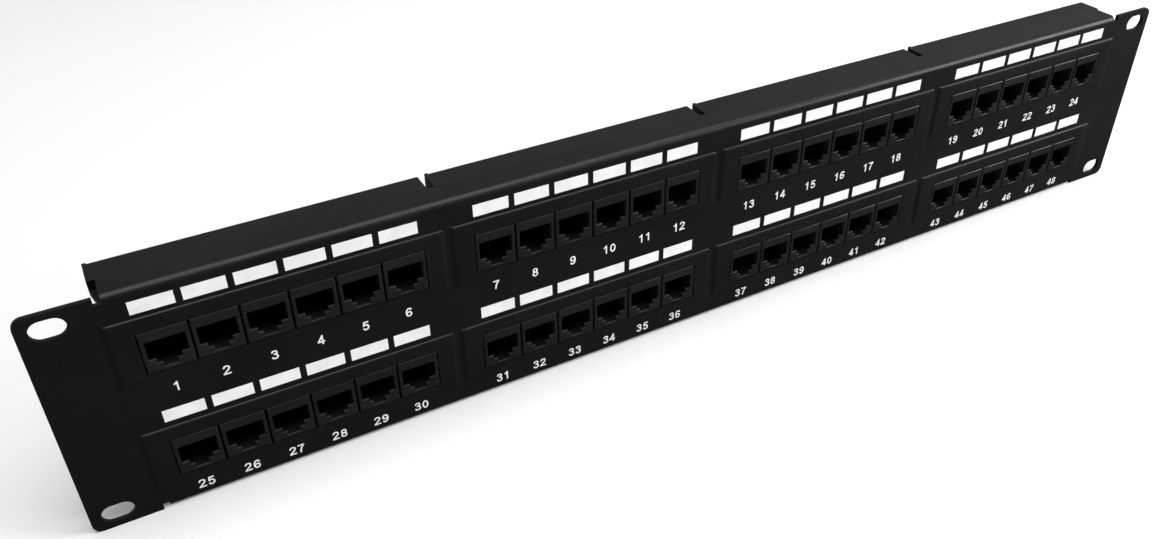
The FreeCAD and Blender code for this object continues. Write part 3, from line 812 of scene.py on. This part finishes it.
def socket_mesh():
    """One socket housing about X = 0 and Z = 0: stepped opening, contact comb and two pegs."""
    low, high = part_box("jack_housings_" + group_names()[0])
    half_width = JACK_WIDTH / 2
    half_height = (high.z - low.z) / 2
    face = low.y
    rear = high.y - PEG_LENGTH
    bm = bmesh.new()

    def outer(margin, y):
        points = rounded_rectangle(half_width - margin, half_height - margin, JACK_CORNER)
        return [(x, y, z) for x, z in points]

    def mouth(margin, y):
        return [(x, y, z) for x, z in socket_outline(margin)]

    outside = add_tube(bm, [outer(0, rear)] + rounded_rim(outer, JACK_EDGE, face),
                       close_end=False)
    first_inner = len(bm.faces)
    inner = add_tube(bm, [mouth(0, face + SOCKET_LIP), mouth(0, face + MOUTH_EDGE)],
                     close_start=False, close_end=False)
    add_cavity(bm, inner[0], face + SOCKET_DEPTH)
    bm.faces.ensure_lookup_table()
    # the walls inside the socket take the second, duller material: painted shade inside the socket
    for wall in bm.faces[first_inner:]:
        wall.material_index = 1
    inner = add_tube(bm, rounded_rim(mouth, MOUTH_EDGE, face), close_start=False, close_end=False)
    rim = [(vert.co.x, vert.co.z) for vert in outside[-1]]
    hole = [(vert.co.x, vert.co.z) for vert in inner[-1]]
    points, faces = fill_outline(rim, [hole])
    at = {(round(vert.co.x, 7), round(vert.co.z, 7)): vert for vert in outside[-1] + inner[-1]}
    for triangle in faces:
        bm.faces.new([at[round(points[i].x, 7), round(points[i].y, 7)] for i in triangle])

    for index in range(1, CONTACTS):
        x = CONTACT_PITCH * (index - CONTACTS // 2)
        back = face + SOCKET_DEPTH + COMB_FIN
        loop = [(x - COMB_FIN / 2, SOCKET_TOP + COMB_FIN), (x + COMB_FIN / 2, SOCKET_TOP + COMB_FIN),
                (x + COMB_FIN / 2, SOCKET_TOP - COMB_DROP), (x - COMB_FIN / 2, SOCKET_TOP - COMB_DROP)]
        add_tube(bm, [[(px, y, pz) for px, pz in loop] for y in (back - COMB_DEPTH, back)])
    for side in (-1, 1):
        x = side * PEG_SPACING / 2
        add_tube(bm, [circle(x, -PEG_DROP, PEG_RADIUS, rear - COMB_FIN),
                      circle(x, -PEG_DROP, PEG_RADIUS, high.y - JACK_EDGE),
                      circle(x, -PEG_DROP, PEG_RADIUS - JACK_EDGE, high.y)])
    bmesh.ops.remove_doubles(bm, verts=bm.verts, dist=SOCKET_WELD)
    mesh = to_mesh("socket", bm)
    # the second material is the duller copy of the jack plastic, painted shade on the inside walls
    for finish in ("jack_plastic", "jack_inside_shade"):
        mesh.materials.append(MATERIALS[finish])
    mesh.shade_smooth()
    mesh.set_sharp_from_angle(angle=math.radians(SOCKET_SHARP))
    return mesh


def sockets():
    """Six socket housings in each group."""
    one = socket_mesh()
    for name in GROUPS:
        offsets = [Vector((x, 0, z)) for x, z in socket_places(name)]
        make_object("sockets_" + name, stamped("sockets_" + name, one, offsets), "jack_plastic",
                    ["jack_housings_" + name])


# ---------------------------------------------------------------- carriers
def carrier_mesh():
    """One carrier about X = 0: crown, rails, gussets, end walls, rib and a rear plate."""
    low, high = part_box(CARRIERS[0])
    half = (high.x - low.x) / 2
    back = high.y
    stub_top = high.z
    plate = back - CARRIER_WALL
    cavity_x = CARRIER_SHELL_HALF - CARRIER_WALL
    window_x = WIRE_PITCH * WIRES / 2 + TOOTH_WIDTH / 2 + WINDOW_GAP
    windows = []
    for z in ROWS:
        for side in (-1, 1):
            middle = z + side * block_rise()
            reach = BLOCK_HEIGHT / 2 + WINDOW_GAP
            windows.append((middle - reach, middle + reach))

    def filled(x, y, z):
        x_out = abs(x)
        z_out = abs(z)
        if z > CARRIER_CROWN_Z:
            return x < -half + CARRIER_STUB and y > back - CARRIER_STUB
        if z_out > CARRIER_TUCK_Z:
            return y > CARRIER_CROWN_START
        if x_out > CARRIER_SHELL_HALF:
            return z_out > CARRIER_RAIL_Z and y > CARRIER_CROWN_START
        if z_out > CARRIER_SHELL_Z:
            return y > CARRIER_TUCK_START
        if z_out > CARRIER_CAVITY_Z or x_out > cavity_x:
            return True
        if y > plate and any(bottom < z < top for bottom, top in windows):
            return x_out > window_x
        return y > plate or abs(z - CARRIER_RIB_Z) < CARRIER_RIB / 2

    bm = bmesh.new()
    xs = mirrored([half, CARRIER_SHELL_HALF, cavity_x, window_x]) + [-half + CARRIER_STUB]
    ys = [CARRIER_SHELL_START, CARRIER_TUCK_START, CARRIER_CROWN_START, plate,
          back - CARRIER_STUB, back]
    zs = mirrored([CARRIER_CROWN_Z, CARRIER_TUCK_Z, CARRIER_SHELL_Z, CARRIER_CAVITY_Z,
                   CARRIER_RAIL_Z])
    zs += [stub_top, CARRIER_RIB_Z - CARRIER_RIB / 2, CARRIER_RIB_Z + CARRIER_RIB / 2]
    zs += [edge for window in windows for edge in window]
    cell_solid(bm, xs, ys, zs, filled)
    gusset = [(half, CARRIER_CROWN_START + CARRIER_JOIN), (half, CARRIER_CROWN_START),
              (CARRIER_SHELL_HALF + CARRIER_JOIN, CARRIER_TUCK_START),
              (CARRIER_SHELL_HALF - CARRIER_JOIN, CARRIER_TUCK_START),
              (CARRIER_SHELL_HALF - CARRIER_JOIN, CARRIER_CROWN_START + CARRIER_JOIN)]
    for side_x in (-1, 1):
        for side_z in (-1, 1):
            add_tube(bm, [[(side_x * x, y, side_z * z) for x, y in gusset]
                          for z in (CARRIER_RAIL_Z, CARRIER_GUSSET_Z)])
    return softened(to_mesh("carrier", bm), CARRIER_EDGE, CARRIER_EDGE_STEPS)


def carriers():
    """The four carriers, side by side."""
    one = carrier_mesh()
    for node in CARRIERS:
        name = node.replace("module_", "rear_")
        mesh = stamped(name, one, [Vector((middle_of(node)[0], 0, 0))])
        make_object(name, mesh, "carrier_plastic", [node])


# ---------------------------------------------------------------- punch-down blocks
def block_rise():
    """How far the middle of a block is above the middle of its board."""
    name = group_names()[0]
    return middle_of("punch_block_upper_" + name)[1] - GROUPS[name][1]


def block_mesh():
    """One punch-down block about X = 0 and Z = 0: a slotted base and two rows of pointed teeth."""
    low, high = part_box("punch_block_upper_" + group_names()[0])
    half = (high.x - low.x) / 2
    slit_x = WIRE_PITCH * WIRES / 2
    root = low.y + BLOCK_BASE
    half_slit = CLIP_SLIT / 2

    def filled(x, y, z):
        in_slit = abs(x) < slit_x and abs(z) < half_slit
        return not in_slit or y < low.y + BLOCK_FLOOR

    bm = bmesh.new()
    cell_solid(bm, mirrored([half, slit_x]), [low.y, low.y + BLOCK_FLOOR, root],
               mirrored([BLOCK_HEIGHT / 2, half_slit]), filled)
    sunk = root - BLOCK_FLOOR
    shoulder = high.y - TOOTH_TIP
    for tooth in range(WIRES + 1):
        x = WIRE_PITCH * (tooth - WIRES / 2)
        left = x - TOOTH_WIDTH / 2
        right = x + TOOTH_WIDTH / 2
        outline = [(left, sunk), (right, sunk), (right, shoulder), (x, high.y), (left, shoulder)]
        reach = TOOTH_HEIGHT / 2
        halves = [(-reach, -half_slit), (half_slit, reach)]
        if tooth in (0, WIRES):
            halves = [(-reach, reach)]
        for ends in halves:
            add_tube(bm, [[(px, py, z) for px, py in outline] for z in ends])
    return softened(to_mesh("block", bm), BLOCK_EDGE)


def blocks():
    """An upper and a lower block on each board."""
    one = block_mesh()
    for name in GROUPS:
        for level in ("upper", "lower"):
            node = "punch_block_%s_%s" % (level, name)
            x, z = middle_of(node)
            offset = Vector((x, 0, z))
            piece = "idc_block_%s_%s" % (level, name)
            make_object(piece, stamped(piece, one, [offset]), "block_plastic", [node])


# ---------------------------------------------------------------- nuts
def nut_mesh():
    """A hexagon nut about X = 0 and Z = 0 with turned corners and a countersunk bore."""
    low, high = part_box("stud_nuts")
    stud_low, stud_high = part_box("panel_studs")
    bore = (stud_high.z - stud_low.z) / 2
    flats = (high.z - low.z) / 2

    def ring(y, limit):
        points = []
        for step in range(NUT_STEPS):
            angle = 2 * math.pi * step / NUT_STEPS
            from_flat = (angle + math.pi / 2) % (math.pi / 3) - math.pi / 6
            radius = min(flats / math.cos(from_flat), limit)
            points.append((radius * math.sin(angle), y, radius * math.cos(angle)))
        return points

    corner = flats / math.cos(math.pi / 6)
    front = low.y + NUT_CHAMFER
    back = high.y - NUT_CHAMFER
    inside_y = (low.y, front, back, high.y)
    inside_r = (bore + NUT_CHAMFER, bore, bore, bore + NUT_CHAMFER)
    loops = [ring(y, radius) for y, radius in zip(inside_y, inside_r)]
    loops += [ring(high.y, flats * NUT_FACE), ring(back, corner), ring(front, corner),
              ring(low.y, flats * NUT_FACE)]
    bm = bmesh.new()
    rings = add_tube(bm, loops, close_start=False, close_end=False)
    add_ring(bm, rings[-1], rings[0])
    mesh = to_mesh("nut", bm)
    mesh.shade_smooth()
    mesh.set_sharp_from_angle(angle=math.radians(NUT_SHARP))
    return mesh


def nut_places():
    """X of each stud, two to a carrier, from the box of all the studs."""
    low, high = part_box("panel_studs")
    middles = [middle_of(node)[0] for node in CARRIERS]
    reach = middles[0] - low.x - (high.z - low.z) / 2
    return [middle + side * reach for middle in middles for side in (-1, 1)]


def nuts():
    """A nut on each stud."""
    offsets = [Vector((x, 0, middle_of("stud_nuts")[1])) for x in nut_places()]
    make_object("hex_nuts", stamped("hex_nuts", nut_mesh(), offsets), "zinc_steel", ["stud_nuts"])


# ---------------------------------------------------------------- print
def add_plate(bm, x, z, length, height, y, thickness, material=0):
    """A thin plate standing upright, its face towards -Y for a positive thickness."""
    corners = [(x + sx * length / 2, z + sz * height / 2)
               for sx, sz in ((-1, -1), (1, -1), (1, 1), (-1, 1))]
    first = len(bm.faces)
    add_tube(bm, [[(px, depth, pz) for px, pz in corners] for depth in (y, y - thickness)])
    bm.faces.ensure_lookup_table()
    for face in bm.faces[first:]:
        face.material_index = material


def port_labels():
    """The white write-on field over each socket."""
    bm = bmesh.new()
    for name in GROUPS:
        for _, x, z in print_places(name):
            add_plate(bm, x, z + LABEL_RISE, LABEL_LENGTH, LABEL_HEIGHT, FACE_Y, PRINT_THICKNESS)
    make_object("port_labels", to_mesh("port_labels", bm), "label_white")


def ellipse(cx, cy, rx, ry):
    """Points round an ellipse, from its right-hand side back to it."""
    steps = 40
    angles = [math.radians(360.0 * step / steps) for step in range(steps + 1)]
    return [(cx + rx * math.cos(angle), cy + ry * math.sin(angle)) for angle in angles]


def smooth_line(points):
    """Points of a smooth curve through a few points."""
    steps = 8
    ends = [points[0]] + list(points) + [points[-1]]
    curve = []
    for p0, p1, p2, p3 in zip(ends, ends[1:], ends[2:], ends[3:]):
        for step in range(steps):
            t = step / steps
            curve.append(tuple(
                0.5 * (2 * b + (c - a) * t + (2 * a - 5 * b + 4 * c - d) * t ** 2
                       + (3 * b - a - 3 * c + d) * t ** 3)
                for a, b, c, d in zip(p0, p1, p2, p3)))
    return curve + [points[-1]]


# strokes of the digits, one unit tall, about X = 0
SIX_ARM = [(0.235, 0.735), (0.16, 0.87), (0.01, 0.915), (-0.145, 0.83), (-0.23, 0.62),
           (-0.238, 0.40), (-0.2, 0.24)]
DIGIT_STROKES = {
    "0": [ellipse(0, 0.5, 0.238, 0.412)],
    "1": [[(0.06, 0.0), (0.06, 1.0)], [(0.06, 0.905), (-0.06, 0.80), (-0.22, 0.715)]],
    "2": [smooth_line([(-0.235, 0.69), (-0.17, 0.86), (0.0, 0.915), (0.18, 0.86), (0.235, 0.71),
                       (0.16, 0.53), (-0.02, 0.36), (-0.19, 0.19), (-0.235, 0.09)]),
          [(-0.335, 0.09), (0.335, 0.09)]],
    "3": [smooth_line([(-0.225, 0.72), (-0.15, 0.87), (0.01, 0.915), (0.17, 0.86), (0.21, 0.73),
                       (0.14, 0.60), (-0.06, 0.55)]),
          smooth_line([(-0.06, 0.54), (0.14, 0.50), (0.24, 0.36), (0.225, 0.20), (0.11, 0.105),
                       (-0.03, 0.087), (-0.18, 0.15), (-0.24, 0.29)])],
    "4": [[(0.125, 0.0), (0.125, 1.0)], [(-0.34, 0.295), (0.34, 0.295)],
          [(0.125, 0.93), (-0.265, 0.32)]],
    "5": [[(-0.2, 0.91), (0.29, 0.91)], [(-0.14, 0.93), (-0.205, 0.48)],
          smooth_line([(-0.215, 0.50), (-0.1, 0.595), (0.06, 0.60), (0.2, 0.50), (0.24, 0.34),
                       (0.19, 0.17), (0.04, 0.09), (-0.12, 0.11), (-0.235, 0.26)])],
    "6": [smooth_line(SIX_ARM), ellipse(0.0, 0.315, 0.235, 0.228)],
    "7": [[(-0.32, 0.91), (0.32, 0.91)],
          smooth_line([(0.25, 0.89), (0.09, 0.66), (-0.04, 0.36), (-0.09, 0.0)])],
    "8": [ellipse(0, 0.72, 0.2, 0.193), ellipse(0, 0.30, 0.235, 0.213)],
    "9": [smooth_line([(-x, 1 - y) for x, y in SIX_ARM]), ellipse(0.0, 0.685, 0.235, 0.228)],
}
STROKE_WIDTH = 0.150
DIGIT_STEP = 0.81


def stroke_quads(points, shift):
    """Four-cornered pieces that cover a stroke of even width."""
    sides = []
    for index, (x, y) in enumerate(points):
        before = points[max(index - 1, 0)]
        after = points[min(index + 1, len(points) - 1)]
        if points[0] == points[-1] and index in (0, len(points) - 1):
            before, after = points[-2], points[1]
        along = Vector((after[0] - before[0], after[1] - before[1])).normalized()
        across = Vector((-along.y, along.x)) * STROKE_WIDTH / 2
        middle = Vector((x + shift, y - 0.5))
        sides.append((middle + across, middle - across))
    return [(a[0], a[1], b[1], b[0]) for a, b in zip(sides, sides[1:])]


def number_mesh(number):
    """The mesh of a port number, one unit tall, in the XZ plane and facing -Y."""
    digits = str(number)
    points = []
    faces = []
    for place, digit in enumerate(digits):
        shift = DIGIT_STEP * (place - (len(digits) - 1) / 2)
        for stroke in DIGIT_STROKES[digit]:
            for quad in stroke_quads(stroke, shift):
                faces.append(list(range(len(points), len(points) + 4)))
                points += quad
    made, _, pieces, _, _, sources = delaunay_2d_cdt(points, [], faces, 1, 1e-5)
    bm = bmesh.new()
    verts = [bm.verts.new((point.x, 0.0, point.y)) for point in made]
    for piece, source in zip(pieces, sources):
        if source:
            bm.faces.new([verts[i] for i in piece])
    loose = [vert for vert in bm.verts if not vert.link_faces]
    bmesh.ops.delete(bm, geom=loose, context="VERTS")
    skin = bmesh.ops.extrude_face_region(bm, geom=bm.faces[:])
    moved = [item for item in skin["geom"] if isinstance(item, bmesh.types.BMVert)]
    bmesh.ops.translate(bm, verts=moved, vec=(0, -1, 0))
    return to_mesh("number", bm)


def port_numbers():
    """The numbers 1 to 48, one below each socket."""
    bm = bmesh.new()
    scale = Matrix.Diagonal((NUMBER_HEIGHT, PRINT_THICKNESS, NUMBER_HEIGHT, 1))
    for name in GROUPS:
        for number, x, z in print_places(name):
            place = Matrix.Translation((x, FACE_Y, z - NUMBER_DROP))
            stamp(bm, number_mesh(number), place @ scale)
    mesh = bpy.data.meshes.new("port_numbers")
    bm.to_mesh(mesh)
    bm.free()
    make_object("port_numbers", mesh, "label_white")


def wiring_labels():
    """A label between the two blocks of each board, with the usual pair colours and no words."""
    low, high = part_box("wiring_labels")
    thickness = high.y - low.y
    inks = [printed_ink("pair_ink_%d" % index, colour)
            for index, colour in enumerate(PAIR_COLOURS, start=1)]
    stock_height = min(high.z - GROUPS[name][1] for name in GROUPS if GROUPS[name][1] > 0) * 2
    stock_length = (high.x - max(x for x, _ in CENTRES)) * 2
    stock = thickness * STOCK_SHARE
    step = stock_length / WIRES
    bm = bmesh.new()
    for x, z in CENTRES:
        add_plate(bm, x, z, stock_length, stock_height, low.y, -stock)
        for wire in range(WIRES):
            middle = x + (wire - (WIRES - 1) / 2) * step
            ink = 1 + (wire // 2) % len(inks)
            height = stock_height * (STRIPED_PATCH if wire % 2 == 0 else PLAIN_PATCH)
            for side in (-1, 1):
                rise = side * stock_height * PATCH_RISE
                add_plate(bm, middle, z + rise, step * PATCH_LENGTH, height, low.y + stock,
                          stock - thickness, ink)
    mesh = to_mesh("pair_labels", bm)
    for material in [MATERIALS["label_white"]] + inks:
        mesh.materials.append(material)
    make_object("pair_labels", mesh, "label_white", ["wiring_labels"])


# ---------------------------------------------------------------- stage
def make_floor():
    """A wide pale sheet of paper under the panel's lower edge."""
    bm = bmesh.new()
    corners = [bm.verts.new((sx * FLOOR_HALF, sy * FLOOR_HALF, BOTTOM_Z))
               for sx, sy in ((-1, -1), (1, -1), (1, 1), (-1, 1))]
    bm.faces.new(corners)
    floor = bpy.data.objects.new("floor", to_mesh("floor", bm))
    bpy.context.scene.collection.objects.link(floor)
    material, shader = new_material("floor_paper")
    tree = Tree(material)
    tree.links.new(tree.blend(tree.noise(3.0, 3.0), grey(0.90), grey(0.93)),
                   shader.inputs["Base Color"])
    shader.inputs["Roughness"].default_value = 0.9
    shader.inputs["Specular IOR Level"].default_value = 0.1
    floor.data.materials.append(material)
    floor.visible_glossy = False


def area_light(name, place, aim, sides, power):
    """A rectangular lamp that faces a point."""
    data = bpy.data.lights.new(name, "AREA")
    data.shape = "RECTANGLE"
    data.size, data.size_y = sides
    data.energy = power
    lamp = bpy.data.objects.new(name, data)
    lamp.location = place
    lamp.rotation_euler = (Vector(aim) - Vector(place)).to_track_quat("-Z", "Y").to_euler()
    bpy.context.scene.collection.objects.link(lamp)


def make_lights():
    """A sky that is brighter above, behind and to the right, and the two lamps."""
    world = bpy.data.worlds.new("studio")
    world.use_nodes = True
    nodes = world.node_tree.nodes
    links = world.node_tree.links
    background = nodes["Background"]
    background.inputs["Color"].default_value = (1.0, 1.0, 1.0, 1.0)
    direction = nodes.new("ShaderNodeTexCoord").outputs["Generated"]
    split = nodes.new("ShaderNodeSeparateXYZ")
    links.new(direction, split.inputs["Vector"])
    sweep = nodes.new("ShaderNodeVectorMath")
    sweep.operation = "DOT_PRODUCT"
    sweep.inputs[1].default_value = SKY_SWEEP
    links.new(direction, sweep.inputs[0])
    product = nodes.new("ShaderNodeMath")
    product.operation = "MULTIPLY"
    ramps = ((sweep.outputs["Value"], SKY_FADE), (split.outputs["X"], SKY_ACROSS))
    for place, (value, limits) in enumerate(ramps):
        ramp = nodes.new("ShaderNodeMapRange")
        for socket, limit in limits.items():
            ramp.inputs[socket].default_value = limit
        links.new(value, ramp.inputs["Value"])
        links.new(ramp.outputs["Result"], product.inputs[place])
    links.new(product.outputs["Value"], background.inputs["Strength"])
    bpy.context.scene.world = world
    area_light("key", **KEY_LIGHT)
    area_light("top", **TOP_LIGHT)


def make_camera():
    """The camera, from its place, heading, tilt and roll."""
    data = bpy.data.cameras.new("camera")
    data.lens = CAMERA_LENS
    data.sensor_width = 36.0
    data.shift_x, data.shift_y = CAMERA_SHIFT
    data.clip_start = 0.01
    camera = bpy.data.objects.new("camera", data)
    heading = math.radians(CAMERA_HEADING)
    tilt = math.radians(90.0 - CAMERA_LOOK_DOWN)
    roll = math.radians(CAMERA_ROLL)
    camera.matrix_world = (Matrix.Translation(CAMERA_PLACE)
                           @ Matrix.Rotation(heading, 4, "Z")
                           @ Matrix.Rotation(tilt, 4, "X")
                           @ Matrix.Rotation(roll, 4, "Z"))
    bpy.context.scene.collection.objects.link(camera)
    bpy.context.scene.camera = camera


# ---------------------------------------------------------------- the scene
make_camera()
finish_nodes()
front_panel()
sockets()
carriers()
blocks()
nuts()
port_labels()
port_numbers()
wiring_labels()
make_floor()
make_lights()
bpy.context.scene.view_settings.view_transform = "Standard"
